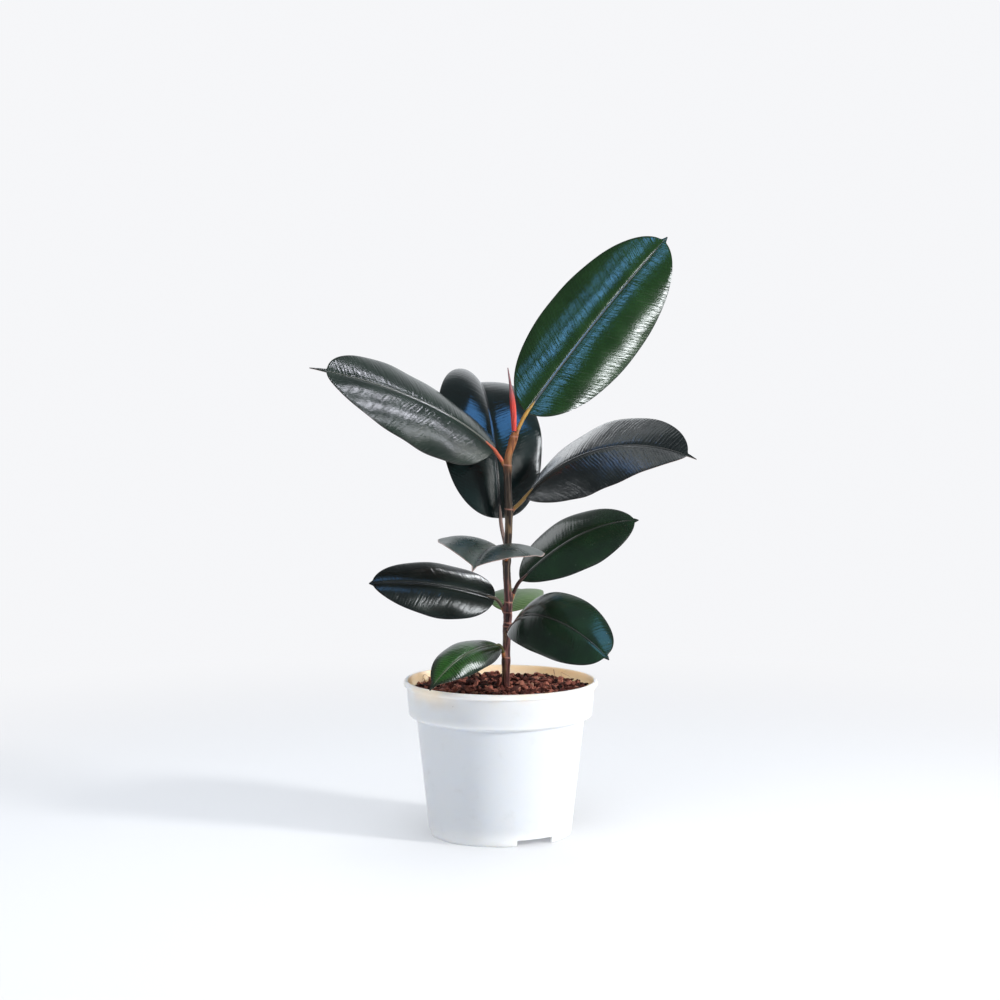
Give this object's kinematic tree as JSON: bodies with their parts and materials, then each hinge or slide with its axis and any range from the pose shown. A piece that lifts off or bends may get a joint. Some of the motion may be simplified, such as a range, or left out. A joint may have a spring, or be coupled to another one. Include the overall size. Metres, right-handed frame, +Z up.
{
  "type": "potted rubber plant",
  "caption": "Young rubber plant with a slender stem, broad glossy dark leaves and a rolled bud sheath, in coir soil in a tapered white nursery pot with a deep collar.",
  "frame": {"origin": "middle of the footprint box, on the surface that the pot stands on", "axes": "+Z up the stem, +X to the right and +Y away for a viewer at the side that the picture shows"},
  "size_m": [0.2942, 0.2906, 0.4632],
  "materials": {
    "white_plastic": "smooth white injection-moulded plastic, slightly glossy, lets a little warm light through",
    "coir": "coarse red-brown coir chips and fibre, matt",
    "bark": "young brown bark with pale lengthwise streaks, satin",
    "coral": "smooth coral-red young leaf, satin",
    "dark_leaf": "leathery dark green to near-black leaf, glossy above, dull reddish below",
    "green_leaf": "leathery green leaf with a dark margin, glossy above",
    "pale_leaf": "leathery light green leaf with fine pale veins, satin"
  },
  "bodies": {
    "root": {"pot": "white_plastic", "soil": "coir", "stem": "bark", "bud_sheath": "coral", "twig": "bark", "leaf_01": "green_leaf", "leaf_02": "dark_leaf", "leaf_03": "pale_leaf", "leaf_04": "dark_leaf", "leaf_05": "dark_leaf", "leaf_06": "dark_leaf", "leaf_07": "dark_leaf", "leaf_08": "dark_leaf", "leaf_09": "dark_leaf", "leaf_10": "green_leaf"}
  },
  "joints": []
}
